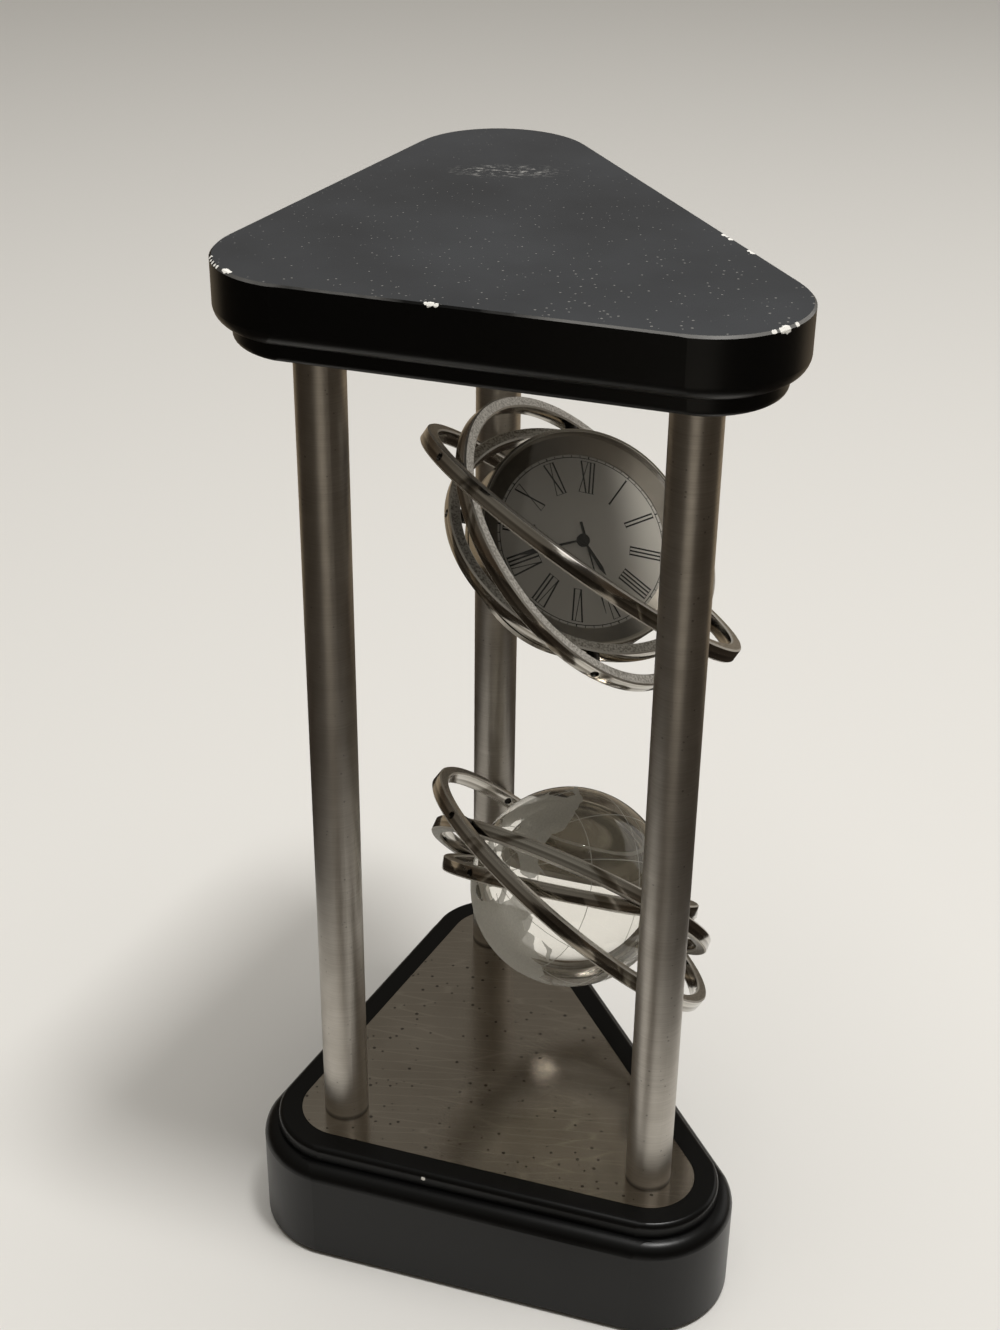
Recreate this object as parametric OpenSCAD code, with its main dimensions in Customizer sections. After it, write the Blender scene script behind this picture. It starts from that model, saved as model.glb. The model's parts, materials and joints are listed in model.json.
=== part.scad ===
// Spinning desk clock: a clock and a crystal globe, each hung in a three-ring gimbal
// between two of the three posts that join a triangular base and cap.
// Millimetres, +Z up. Origin: middle of the base's underside.
// The gimbals turn about lines along X between the right and left posts; the front post stands at -Y.

/* [Plates] */
// Height of the base, felt included
base_h = 32.5; // [26:0.5:38]
// Height of the cap
cap_h = 17.5; // [15:0.5:24]
// How far the plates reach past the post centres
plate_margin = 21; // [21:0.1:26]
// How far the thin tier next to the posts reaches past their centres
tier_margin = 17.2; // [15.5:0.1:17.2]
// Height of the tier
tier_h = 4.2; // [3:0.1:6]
// Rounding of the tier's edge
tier_round = 1.4; // [0.6:0.1:2]
// Rounding of the shoulder beside the tier
shoulder_r = 3.4; // [2:0.1:3.4]
// Bevel at the outer edge of the base's underside and the cap's top
edge_bevel = 0.4; // [0.2:0.1:1]
// How far the steel inlay reaches past the post centres
inlay_margin = 11.3; // [9:0.1:13]
// Thickness of the inlay
inlay_t = 1.2; // [0.8:0.1:2]
// Thickness of the felt
felt_t = 0.8; // [0.5:0.1:1.5]
// Distance of the felt's edge from the base's edge
felt_inset = 3; // [1:0.5:6]

/* [Posts] */
// Diameter of the posts
post_d = 11; // [10:0.5:13]
// Free length of the posts
post_len = 207; // [202:1:225]
// Distance of the front post from the line through the other two
post_depth = 60.5; // [58:0.5:75]
// Height of the globe's gimbal line above the inlay
globe_rise = 52.3; // [50:0.1:54]
// Distance of the clock's gimbal line below the cap
clock_drop = 57.8; // [52:0.1:60]

/* [Gimbals] */
// Diameter of the globe
globe_d = 50; // [46:0.5:52]
// Gap between the globe and the inner ring
globe_gap = 4.8; // [4:0.1:5.5]
// Gap between the clock's case and the inner ring
case_gap = 4; // [3.6:0.1:5]
// Gap between the inner and middle rings
inner_gap = 2.2; // [1.5:0.1:3]
// Gap between the middle and outer rings
outer_gap = 3.1; // [2:0.1:3.6]
// Gap between the outer ring and the posts
post_gap = 1.5; // [1:0.1:2.5]
// Radial thickness of the rings
ring_t = 2.8; // [2.2:0.1:3.2]
// Width of the rings
ring_w = 3.6; // [3.2:0.1:4.6]
// Bevel of the rings' edges
ring_bevel = 0.35; // [0.2:0.05:0.5]
// Diameter of the pivot bores
bore_d = 2; // [1.6:0.1:2.2]
// Diameter of the collar on a pin
collar_d = 3; // [2.6:0.1:3.2]
// Depth of a pin's outer end below the ring's surface
pin_recess = 0.6; // [0.3:0.1:1]
// Depth of the pin holes in the posts
post_pin_in = 6; // [4:0.5:7]

/* [Pose] */
// Clock: turn of the outer ring about X
clock_a = -37.6; // [-180:0.1:180]
// Clock: turn of the middle ring in the outer one
clock_b = 29.5; // [-180:0.1:180]
// Clock: turn of the inner ring in the middle one
clock_c = 22.9; // [-180:0.1:180]
// Clock: turn of the case in the inner ring
clock_d = 20.8; // [-180:0.1:180]
// Globe: turn of the outer ring about X
globe_a = -42.9; // [-180:0.1:180]
// Globe: turn of the middle ring in the outer one
globe_b = -25.8; // [-180:0.1:180]
// Globe: turn of the inner ring in the middle one
globe_c = 17.4; // [-180:0.1:180]
// Globe: turn of the globe in the inner ring
globe_t = 0; // [-180:0.1:180]
// Minutes past twelve that the hands show
minutes = 281; // [0:1:719]
// Second that the second hand shows
second = 26.6; // [0:0.1:59.9]

/* [Clock] */
// Front rim of the case, measured from the pivot line
case_front = 4; // [3.9:0.1:6]
// Back end of the case's drum
case_back = 4.4; // [4.2:0.1:5]
// Wall of the case
case_wall = 2.6; // [2.2:0.1:3]
// Shadow groove between the drum and the back cover
back_groove = 0.5; // [0.3:0.1:0.8]
// Thickness of the back cover's rim
back_rim = 2.3; // [2:0.1:3]
// Thickness of the back cover's floor
back_floor = 1.5; // [1:0.1:1.6]
// Width of the bezel's dished face
bezel_dish = 4.3; // [3.2:0.1:4.6]
// Height at which the bezel seats in the case
bezel_seat = 1.4; // [1.3:0.1:1.6]
// Thickness of the lens
lens_t = 1; // [0.8:0.1:1.2]
// Height of the lens's underside
lens_z = 2.6; // [2.5:0.1:2.8]
// Thickness of the dial
dial_t = 0.4; // [0.2:0.05:0.5]
// Radius of the movement
move_r = 13; // [11:0.5:16]
// Thickness of the movement
move_t = 4.6; // [4.4:0.1:4.6]
// Diameter of the button cell
cell_d = 9.5; // [6.8:0.1:9.5]
// Thickness of the button cell
cell_t = 2.1; // [1.6:0.1:2.2]
// Length of the hour hand
hour_len = 9.4; // [7:0.1:11]
// Length of the minute hand
minute_len = 17.6; // [14:0.1:19]
// Length of the second hand
second_len = 18; // [14:0.1:19]
// Radius of the setting knob
knob_r = 3.4; // [2.5:0.1:4]

/* [Fasteners] */
// Nominal diameter of screws and studs
screw_d = 4; // [3:0.5:5]
// Diameter of the screw heads
head_d = 7.4; // [6.5:0.1:8.5]
// Height of the screw heads
head_h = 2.8; // [2:0.1:3.2]
// Diameter of the washers
washer_d = 9; // [8.6:0.1:10]
// Thickness of the washers
washer_t = 1; // [0.5:0.1:1.5]
// Depth of the screw pockets under the base
pocket_h = 9; // [7:0.5:12]
// Length of thread in a post
grip = 12; // [8:0.5:16]
// Outer diameter of the threaded inserts in the cap
insert_d = 6.4; // [6:0.1:8]
// Length of the inserts
insert_h = 9; // [6:0.5:10]

/* [Fits] */
// Radial clearance of a running pin
run_gap = 0.05; // [0.02:0.01:0.09]
// Radial clearance of a pressed or glued piece
seat_gap = 0.02; // [0.01:0.01:0.05]
// Clearance round the inlay and the screws
loose_gap = 0.15; // [0.1:0.05:0.3]
// End play of the rings on their pins
end_play = 0.2; // [0.1:0.05:0.3]

/* [Hidden] */
$fn = 96;
eps = 0.01;

// Plates: lean of an edge rounding, and the corners' shift out and up from the sides
// (both make the faces meet at an edge instead of running out)
round_lean = 0.12;
corner_ease = 0.05;
corner_lift = 0.1;

// Radii of the nested pieces, from the globe outwards
globe_r = globe_d / 2;
inner_in = globe_r + globe_gap;
inner_r = inner_in + ring_t;
middle_in = inner_r + inner_gap;
middle_r = middle_in + ring_t;
outer_in = middle_r + outer_gap;
outer_r = outer_in + ring_t;
post_in = outer_r + post_gap;
case_r = inner_in - case_gap;

// Post centres, counter-clockwise: right, left, front
half_span = post_in + post_d / 2;
reach = 2 * (half_span + plate_margin);
axis_y = post_depth / 2;
posts = [[half_span, axis_y], [-half_span, axis_y], [0, -axis_y]];
lean = atan2(post_depth, half_span);

// Levels
wood_h = base_h - felt_t;
cap_z = base_h + post_len;
globe_z = base_h + globe_rise;
clock_z = cap_z - clock_drop;

// Pins
run_r = bore_d / 2 - run_gap;
press_r = bore_d / 2 - seat_gap;
pin_nose = 0.15;
tip_back = 0.3;
collar_gap = 0.1;

// Clock stack
case_in = case_r - case_wall;
case_bevel = 0.3;
case_lip = 0.5;
slip_gap = 0.1;
bezel_r = case_r - case_lip;
bezel_rim = 0.3;
bezel_top = case_front - slip_gap;
rim_r = bezel_r - bezel_rim;
sight_r = rim_r - bezel_dish;
lens_r = rim_r - seat_gap;
lens_seat = 0.6;
ledge_r = rim_r - lens_seat;
lip_t = 0.3;
cover_top = case_back + back_groove;
cover_z = cover_top + back_rim;
cover_bevel = 0.5;
spigot_t = 0.8;
spigot_in = 0.2;
spigot_r = case_in - spigot_t;

// Hands: pipes one inside the other, each hand a step above the last
stem_r = 1;
stem_in = 0.65;
minute_r = stem_in - run_gap;
minute_in = 0.3;
second_r = minute_in - run_gap;
hand_t = 0.25;
hand_step = 0.55;
hour_z = dial_t + 0.5;
minute_z = hour_z + hand_step;
second_z = minute_z + hand_step;
hour_w = 0.9;
hour_root = 0.35;
minute_w = 0.7;
minute_root = 0.35;
second_w = 0.25;
tail_len = 4;
tail_w = 0.6;
boss_w = 0.5;
stem_depth = 3;
hour_stem = 1.5;
minute_stem = 2.2;
second_stem = 2.7;
shaft_r = 0.8;
shaft_end = 0.4;
knob_gap = 0.6;
knob_sink = 0.3;
cell_pos = [6.6, -3];
hour_turn = -minutes / 2;
minute_turn = -6 * minutes;
second_turn = -6 * second;

// Globe bushes
bush_r = 2.05;
bush_h = 7;
bush_sink = 0.4;
tip_play = 1;

// Rounded triangle round the posts, with an upright edge
module slice(margin, h) {
    linear_extrude(h) {
        polygon(posts);
        for (p = posts)
            translate(p)
                circle(margin);
        for (i = [0:2]) {
            from = posts[i];
            to = posts[(i + 1) % 3];
            run = (to - from) / norm(to - from);
            out = margin * [run[1], -run[0]];
            polygon([from, from + out, to + out, to]);
        }
    }
}

// What a quarter round of radius r leaves over, at an edge that reaches margin and h
module round_waste(margin, h, r) {
    back = r * (1 + round_lean);
    translate([margin - back, h - back])
        difference() {
            square(back + 1);
            circle(norm([back, r * round_lean]));
        }
}

// What is cut away beside a plate's section: upright side, shoulder, thin round-edged tier, bevel
module edge_waste(h) {
    translate([plate_margin, -1])
        square([reach, h + 2]);
    translate([tier_margin, h - tier_h])
        square([reach, tier_h + 1]);
    round_waste(plate_margin, h - tier_h, shoulder_r);
    round_waste(tier_margin, h, tier_round);
    translate([plate_margin, 0])
        polygon([[-edge_bevel - 1, -1], [1, -1], [1, edge_bevel + 1]]);
}

// The plate's section drawn along one side, past both ends; turn is the way the side faces
module side_bar(p, turn, h) {
    translate(p)
        rotate([0, 0, turn])
            translate([0, reach, 0])
                rotate([90, 0, 0])
                    linear_extrude(2 * reach)
                        difference() {
                            translate([-reach, 0])
                                square([reach + plate_margin, h]);
                            edge_waste(h);
                        }
}

// What rounds off a corner, swept round its post
module corner_waste(p, turn, sweep, h) {
    translate(p)
        rotate([0, 0, turn])
            rotate_extrude(angle = sweep)
                translate([corner_ease, corner_lift])
                    edge_waste(h);
}

// Base and cap share this shape: three sides meet, then the corners are rounded off
module plate(h) {
    difference() {
        intersection() {
            side_bar(posts[0], 90, h);
            side_bar(posts[1], -90 - lean, h);
            side_bar(posts[0], lean - 90, h);
        }
        corner_waste(posts[0], lean - 90, 180 - lean, h);
        corner_waste(posts[1], 90, 180 - lean, h);
        corner_waste(posts[2], -90 - lean, 2 * lean, h);
    }
}

module base_plinth() {
    color([0.05, 0.05, 0.05])
        difference() {
            translate([0, 0, felt_t])
                plate(wood_h);
            translate([0, 0, base_h - inlay_t])
                slice(inlay_margin + loose_gap, inlay_t + 1);
            for (p = posts) {
                translate([p[0], p[1], 0])
                    cylinder(r = screw_d / 2 + loose_gap, h = base_h);
                translate([p[0], p[1], 0])
                    cylinder(r = washer_d / 2 + loose_gap, h = pocket_h);
            }
        }
}

module base_inlay() {
    color([0.62, 0.6, 0.57])
        difference() {
            translate([0, 0, base_h - inlay_t])
                slice(inlay_margin, inlay_t);
            for (p = posts)
                translate([p[0], p[1], base_h - inlay_t - 1])
                    cylinder(r = screw_d / 2 + loose_gap, h = inlay_t + 2);
        }
}

module base_felt() {
    color([0.08, 0.1, 0.08])
        slice(plate_margin - felt_inset, felt_t);
}

// Washers lie against the pocket floor, heads below them, threads reach up into the posts
module base_screws() {
    color([0.7, 0.7, 0.72])
        for (p = posts)
            translate([p[0], p[1], pocket_h - washer_t - head_h]) {
                cylinder(d = head_d, h = head_h);
                cylinder(d = screw_d, h = base_h + grip - pocket_h + washer_t + head_h);
            }
}

module base_washers() {
    color([0.7, 0.7, 0.72])
        for (p = posts)
            translate([p[0], p[1], pocket_h - washer_t])
                difference() {
                    cylinder(d = washer_d, h = washer_t);
                    translate([0, 0, -1])
                        cylinder(r = screw_d / 2 + loose_gap, h = washer_t + 2);
                }
}

// Post with a tapped hole at each end
module post(p) {
    translate([p[0], p[1], base_h])
        difference() {
            cylinder(d = post_d, h = post_len);
            translate([0, 0, -1])
                cylinder(r = screw_d / 2 + seat_gap, h = grip + 3);
            translate([0, 0, post_len - grip - 2])
                cylinder(r = screw_d / 2 + seat_gap, h = grip + 3);
        }
}

// Blind holes for the gimbal pins, reaching from the middle of the span into the posts
module pin_holes() {
    for (z = [globe_z, clock_z])
        translate([0, axis_y, z])
            rotate([0, 90, 0])
                cylinder(d = bore_d, h = 2 * (post_in + post_pin_in), center = true);
}

module front_post() {
    color([0.6, 0.58, 0.55])
        post(posts[2]);
}

module right_post() {
    color([0.6, 0.58, 0.55])
        difference() {
            post(posts[0]);
            pin_holes();
        }
}

module left_post() {
    color([0.6, 0.58, 0.55])
        difference() {
            post(posts[1]);
            pin_holes();
        }
}

module top_cap() {
    color([0.05, 0.05, 0.05])
        difference() {
            translate([0, 0, cap_z + cap_h])
                mirror([0, 0, 1])
                    plate(cap_h);
            for (p = posts)
                translate([p[0], p[1], cap_z - 1])
                    cylinder(r = insert_d / 2 + seat_gap, h = insert_h + 2);
        }
}

module cap_studs() {
    color([0.7, 0.7, 0.72])
        for (p = posts)
            translate([p[0], p[1], cap_z - grip])
                cylinder(d = screw_d, h = grip + insert_h - 0.5);
}

module cap_inserts() {
    color([0.75, 0.6, 0.3])
        for (p = posts)
            translate([p[0], p[1], cap_z + 0.5])
                difference() {
                    cylinder(d = insert_d, h = insert_h);
                    translate([0, 0, -1])
                        cylinder(r = screw_d / 2 + seat_gap, h = insert_h + 2);
                }
}

// Gimbal frames: outer on X, middle on the outer ring's Y, inner on the middle ring's X, then Y again
module at_clock_outer() {
    translate([0, axis_y, clock_z])
        rotate([clock_a, 0, 0])
            children();
}

module at_clock_middle() {
    at_clock_outer()
        rotate([0, clock_b, 0])
            children();
}

module at_clock_inner() {
    at_clock_middle()
        rotate([clock_c, 0, 0])
            children();
}

// Clock frame: dial faces +Z, twelve is at +Y, the pivots are at three and nine
module at_clock() {
    at_clock_inner()
        rotate([0, clock_d, 0])
            rotate([0, 0, 90])
                children();
}

module at_globe_outer() {
    translate([0, axis_y, globe_z])
        rotate([globe_a, 0, 0])
            children();
}

module at_globe_middle() {
    at_globe_outer()
        rotate([0, globe_b, 0])
            children();
}

module at_globe_inner() {
    at_globe_middle()
        rotate([globe_c, 0, 0])
            children();
}

module at_globe() {
    at_globe_inner()
        rotate([0, globe_t, 0])
            rotate([0, 0, 90])
                children();
}

// Flat-sided ring with bevelled edges and pivot bores along X and Y
module ring(r) {
    half = ring_w / 2;
    difference() {
        rotate_extrude()
            polygon([[r - ring_t + ring_bevel, -half], [r - ring_bevel, -half],
                     [r, -half + ring_bevel], [r, half - ring_bevel],
                     [r - ring_bevel, half], [r - ring_t + ring_bevel, half],
                     [r - ring_t, half - ring_bevel], [r - ring_t, -half + ring_bevel]]);
        rotate([0, 90, 0])
            cylinder(d = bore_d, h = 2 * r + 2, center = true);
        rotate([90, 0, 0])
            cylinder(d = bore_d, h = 2 * r + 2, center = true);
    }
}

// Shouldered pin along +X: journal from tip to seat, collar across the gap, pressed end out to stop
module pin(tip, seat, wall, stop) {
    rotate([0, 90, 0])
        rotate_extrude($fn = 48)
            polygon([[0, tip], [run_r - pin_nose, tip], [run_r, tip + pin_nose], [run_r, seat],
                     [collar_d / 2, seat], [collar_d / 2, wall], [press_r, wall],
                     [press_r, stop], [0, stop]]);
}

// The same pin on both sides
module pin_pair(tip, seat, wall, stop) {
    pin(tip, seat, wall, stop);
    rotate([0, 0, 180])
        pin(tip, seat, wall, stop);
}

// Pins pressed in the posts, running in an outer ring
module post_pins() {
    pin_pair(outer_in + tip_back, outer_r + end_play, post_in - eps, post_in + post_pin_in - collar_gap);
}

// Pins pressed in an outer ring, running in the middle ring
module outer_pins() {
    rotate([0, 0, 90])
        pin_pair(middle_in + tip_back, middle_r + end_play, outer_in - collar_gap, outer_r - pin_recess);
}

// Pins pressed in a middle ring, running in the inner ring
module middle_pins() {
    pin_pair(inner_in + tip_back, inner_r + end_play, middle_in - collar_gap, middle_r - pin_recess);
}

// Pins pressed in an inner ring, running in what it carries
module inner_pins(tip, face) {
    rotate([0, 0, 90])
        pin_pair(tip, face + end_play, inner_in - collar_gap, inner_r - pin_recess);
}

module clock_post_pins() {
    color([0.72, 0.72, 0.74])
        translate([0, axis_y, clock_z])
            post_pins();
}

module clock_outer_ring() {
    color([0.75, 0.74, 0.71])
        at_clock_outer()
            ring(outer_r);
}

module clock_outer_pins() {
    color([0.72, 0.72, 0.74])
        at_clock_outer()
            outer_pins();
}

module clock_middle_ring() {
    color([0.75, 0.74, 0.71])
        at_clock_middle()
            ring(middle_r);
}

module clock_middle_pins() {
    color([0.72, 0.72, 0.74])
        at_clock_middle()
            middle_pins();
}

module clock_inner_ring() {
    color([0.75, 0.74, 0.71])
        at_clock_inner()
            ring(inner_r);
}

module clock_inner_pins() {
    color([0.72, 0.72, 0.74])
        at_clock_inner()
            inner_pins(case_in + tip_back, case_r);
}

// Turned drum with a counterbore for the bezel and a pivot bore at three and nine
module clock_case() {
    color([0.72, 0.7, 0.66])
        at_clock()
            difference() {
                rotate_extrude()
                    polygon([[case_in, -case_back], [case_r - case_bevel, -case_back],
                             [case_r, -case_back + case_bevel], [case_r, case_front - case_bevel],
                             [case_r - case_bevel, case_front],
                             [bezel_r, case_front], [bezel_r, bezel_seat], [case_in, bezel_seat]]);
                rotate([0, 90, 0])
                    cylinder(d = bore_d, h = 2 * case_r + 2, center = true);
            }
}

// Dished bezel: its foot clamps the dial, its face slopes up to a ledge, and the lens lies on the ledge
module clock_bezel() {
    color([0.6, 0.58, 0.54])
        at_clock()
            rotate_extrude()
                polygon([[sight_r, dial_t + seat_gap], [case_in - seat_gap, dial_t + seat_gap],
                         [case_in - seat_gap, bezel_seat + seat_gap],
                         [bezel_r - seat_gap, bezel_seat + seat_gap],
                         [bezel_r - seat_gap, bezel_top], [rim_r, bezel_top],
                         [rim_r, lens_z - seat_gap], [ledge_r, lens_z - seat_gap],
                         [sight_r, dial_t + lip_t]]);
}

module clock_lens() {
    color([0.9, 0.95, 0.95, 0.35])
        at_clock()
            translate([0, 0, lens_z])
                cylinder(r = lens_r, h = lens_t);
}

module clock_dial() {
    color([0.7, 0.7, 0.69])
        at_clock()
            difference() {
                cylinder(r = case_in - slip_gap, h = dial_t);
                translate([0, 0, -1])
                    cylinder(r = stem_r + boss_w, h = dial_t + 2);
            }
}

module movement_holder() {
    color([0.85, 0.85, 0.83])
        at_clock()
            translate([0, 0, -case_back + spigot_in + seat_gap])
                difference() {
                    cylinder(r = case_in - slip_gap, h = case_back - spigot_in - 2 * seat_gap);
                    translate([0, 0, -1])
                        cylinder(r = move_r + slip_gap, h = case_back + 2);
                }
}

// Movement with the bore for the hand pipes, the cell's pocket and the bore of the setting shaft
module movement() {
    color([0.2, 0.2, 0.22])
        at_clock()
            difference() {
                translate([0, 0, -move_t])
                    cylinder(r = move_r, h = move_t - seat_gap);
                translate([0, 0, -stem_depth])
                    cylinder(r = stem_r + run_gap, h = stem_depth + 1);
                translate([cell_pos[0], cell_pos[1], -move_t - 1])
                    cylinder(r = cell_d / 2 + slip_gap, h = cell_t + 1);
                translate([0, 0, -move_t - 1])
                    cylinder(r = shaft_r + run_gap, h = move_t - stem_depth - shaft_end + 1);
            }
}

module button_cell() {
    color([0.8, 0.8, 0.8])
        at_clock()
            translate([cell_pos[0], cell_pos[1], -move_t])
                cylinder(d = cell_d, h = cell_t - slip_gap);
}

// Back cover: a cup whose rim matches the drum, pushed in from behind, with a hole for the knob
module clock_back() {
    color([0.68, 0.66, 0.62])
        at_clock()
            difference() {
                rotate_extrude()
                    polygon([[0, -cover_z], [case_r - cover_bevel, -cover_z],
                             [case_r, -cover_z + cover_bevel],
                             [case_r, -cover_top], [case_in - seat_gap, -cover_top],
                             [case_in - seat_gap, -case_back + spigot_in],
                             [spigot_r, -case_back + spigot_in],
                             [spigot_r, -cover_z + back_floor], [0, -cover_z + back_floor]]);
                translate([0, 0, -cover_z - 1])
                    cylinder(r = knob_r + knob_gap, h = back_floor + 2);
            }
}

module setting_knob() {
    color([0.1, 0.1, 0.1])
        at_clock() {
            translate([0, 0, -cover_z + knob_sink])
                cylinder(r = knob_r, h = cover_z - move_t - 2 * knob_sink);
            translate([0, 0, -cover_z + knob_sink])
                cylinder(r = shaft_r, h = cover_z - knob_sink - stem_depth - shaft_end - slip_gap);
        }
}

// Slim hand towards +Y that widens from its root and ends in a point
module hand(len, w, root) {
    linear_extrude(hand_t)
        polygon([[-root / 2, 0], [root / 2, 0], [w / 2, len * 0.8], [0, len], [-w / 2, len * 0.8]]);
}

module hour_hand() {
    color([0.03, 0.03, 0.03])
        at_clock()
            difference() {
                union() {
                    translate([0, 0, hour_z])
                        rotate([0, 0, hour_turn])
                            hand(hour_len, hour_w, hour_root);
                    translate([0, 0, hour_z])
                        cylinder(r = stem_r + boss_w, h = hand_t);
                    translate([0, 0, -hour_stem])
                        cylinder(r = stem_r, h = hour_stem + hour_z + hand_t / 2);
                }
                translate([0, 0, -stem_depth])
                    cylinder(r = stem_in, h = stem_depth + hour_z + 1);
            }
}

module minute_hand() {
    color([0.03, 0.03, 0.03])
        at_clock()
            difference() {
                union() {
                    translate([0, 0, minute_z])
                        rotate([0, 0, minute_turn])
                            hand(minute_len, minute_w, minute_root);
                    translate([0, 0, minute_z])
                        cylinder(r = stem_in + boss_w, h = hand_t);
                    translate([0, 0, -minute_stem])
                        cylinder(r = minute_r, h = minute_stem + minute_z + hand_t / 2);
                }
                translate([0, 0, -stem_depth])
                    cylinder(r = minute_in, h = stem_depth + minute_z + 1);
            }
}

module second_hand() {
    color([0.03, 0.03, 0.03])
        at_clock() {
            translate([0, 0, second_z])
                rotate([0, 0, second_turn]) {
                    hand(second_len, second_w, second_w);
                    translate([-tail_w / 2, -tail_len, 0])
                        cube([tail_w, tail_len, hand_t]);
                }
            translate([0, 0, second_z])
                cylinder(r = minute_in + boss_w, h = hand_t);
            translate([0, 0, -second_stem])
                cylinder(r = second_r, h = second_stem + second_z + hand_t / 2);
        }
}

module globe_post_pins() {
    color([0.72, 0.72, 0.74])
        translate([0, axis_y, globe_z])
            post_pins();
}

module globe_outer_ring() {
    color([0.75, 0.74, 0.71])
        at_globe_outer()
            ring(outer_r);
}

module globe_outer_pins() {
    color([0.72, 0.72, 0.74])
        at_globe_outer()
            outer_pins();
}

module globe_middle_ring() {
    color([0.75, 0.74, 0.71])
        at_globe_middle()
            ring(middle_r);
}

module globe_middle_pins() {
    color([0.72, 0.72, 0.74])
        at_globe_middle()
            middle_pins();
}

module globe_inner_ring() {
    color([0.75, 0.74, 0.71])
        at_globe_inner()
            ring(inner_r);
}

module globe_inner_pins() {
    color([0.72, 0.72, 0.74])
        at_globe_inner()
            inner_pins(globe_r - bush_sink - bush_h + tip_play, globe_r - bush_sink);
}

// Crystal ball with a drilled hole on each side for a bush
module crystal_globe() {
    color([0.85, 0.9, 0.9, 0.4])
        at_globe()
            difference() {
                sphere(globe_r);
                for (s = [0, 180])
                    rotate([0, 0, s])
                        translate([globe_r - bush_sink - bush_h - slip_gap, 0, 0])
                            rotate([0, 90, 0])
                                cylinder(r = bush_r + seat_gap, h = bush_h + 5);
            }
}

module globe_bushes() {
    color([0.7, 0.7, 0.72])
        at_globe()
            for (s = [0, 180])
                rotate([0, 0, s])
                    translate([globe_r - bush_sink - bush_h, 0, 0])
                        rotate([0, 90, 0])
                            difference() {
                                cylinder(r = bush_r, h = bush_h);
                                translate([0, 0, -1])
                                    cylinder(d = bore_d, h = bush_h + 2);
                            }
}

base_plinth();
base_inlay();
base_felt();
base_screws();
base_washers();
front_post();
right_post();
left_post();
top_cap();
cap_studs();
cap_inserts();
clock_post_pins();
clock_outer_ring();
clock_outer_pins();
clock_middle_ring();
clock_middle_pins();
clock_inner_ring();
clock_inner_pins();
clock_case();
clock_bezel();
clock_lens();
clock_dial();
movement_holder();
movement();
button_cell();
clock_back();
setting_knob();
hour_hand();
minute_hand();
second_hand();
globe_post_pins();
globe_outer_ring();
globe_outer_pins();
globe_middle_ring();
globe_middle_pins();
globe_inner_ring();
globe_inner_pins();
crystal_globe();
globe_bushes();
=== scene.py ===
# %% [markdown]
# # A spinning desk clock, dressed for the camera
# The solids of this clock come from its CAD model and already have the right size and place.
# Here they get their finishes, the printing on the dial, the map on the globe and a small studio.
# The CAD solids are the fixed frame: nothing here moves them, and each new piece rides on one of their
# bodies.

# %% Load the frame
import json
import math

import bpy
from mathutils import Matrix, Vector, geometry, noise

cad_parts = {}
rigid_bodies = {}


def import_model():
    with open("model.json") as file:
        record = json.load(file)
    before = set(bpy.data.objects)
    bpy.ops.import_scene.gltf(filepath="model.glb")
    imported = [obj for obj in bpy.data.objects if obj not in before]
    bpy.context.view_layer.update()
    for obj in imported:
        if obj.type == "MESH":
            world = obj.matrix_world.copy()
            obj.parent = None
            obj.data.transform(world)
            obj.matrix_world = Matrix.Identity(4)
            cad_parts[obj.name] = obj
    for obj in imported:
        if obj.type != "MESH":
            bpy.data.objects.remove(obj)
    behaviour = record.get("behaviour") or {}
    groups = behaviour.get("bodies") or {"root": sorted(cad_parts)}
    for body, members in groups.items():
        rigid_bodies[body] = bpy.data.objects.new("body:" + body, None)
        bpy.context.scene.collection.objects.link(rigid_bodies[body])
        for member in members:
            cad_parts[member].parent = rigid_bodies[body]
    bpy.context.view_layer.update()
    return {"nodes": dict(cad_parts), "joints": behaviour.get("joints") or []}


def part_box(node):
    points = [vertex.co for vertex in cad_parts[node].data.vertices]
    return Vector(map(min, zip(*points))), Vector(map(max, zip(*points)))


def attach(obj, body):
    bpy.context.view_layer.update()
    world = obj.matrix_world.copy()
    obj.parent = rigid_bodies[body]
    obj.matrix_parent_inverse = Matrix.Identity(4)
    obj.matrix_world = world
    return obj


for leftover in list(bpy.data.objects):
    bpy.data.objects.remove(leftover)
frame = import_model()
nodes = frame["nodes"]
joints = {joint["name"]: joint for joint in frame["joints"]}
MM = 0.001

# %% [markdown]
# ## The camera
# The photograph was taken from above the clock's right side, with a lens a little longer than normal.
# Its place, direction and focal length were worked out from the posts and plates, whose real proportions
# are known. So the camera is set by numbers, and a render can be laid over the photograph point by point.

# %% Camera
photo_w, photo_h, focal_px = 1000, 1330, 2005
sensor_mm = 36
camera_at = Vector((0.3690, -0.1435, 0.3869))
looking = Vector((-0.7969, 0.3325, -0.5044)).normalized()
roll = math.radians(0.71)

camera = bpy.data.objects.new("camera", bpy.data.cameras.new("camera"))
bpy.context.scene.collection.objects.link(camera)
camera.data.sensor_width = sensor_mm
camera.data.lens = sensor_mm * focal_px / max(photo_w, photo_h)
camera.data.clip_start = 10 * MM
camera.data.clip_end = 20
turned = looking.to_track_quat("-Z", "Y").to_matrix().to_4x4()
camera.matrix_world = Matrix.Translation(camera_at) @ turned @ Matrix.Rotation(roll, 4, "Z")
bpy.context.scene.camera = camera
print("lens", round(camera.data.lens, 2), "mm")

# %% [markdown]
# ## Three small tools
# Colours are written as sRGB hex values, the way a paint chart gives them, and turned to linear light here.
# A material is a tree of nodes, so one function adds a node with its settings and its links.
# A third function starts a material and gives back what the next steps need: the tree, the shader and the
# coordinates. Object coordinates are used throughout, because every solid's own frame is the clock's frame
# in metres.

# %% Colours, nodes and materials


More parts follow.
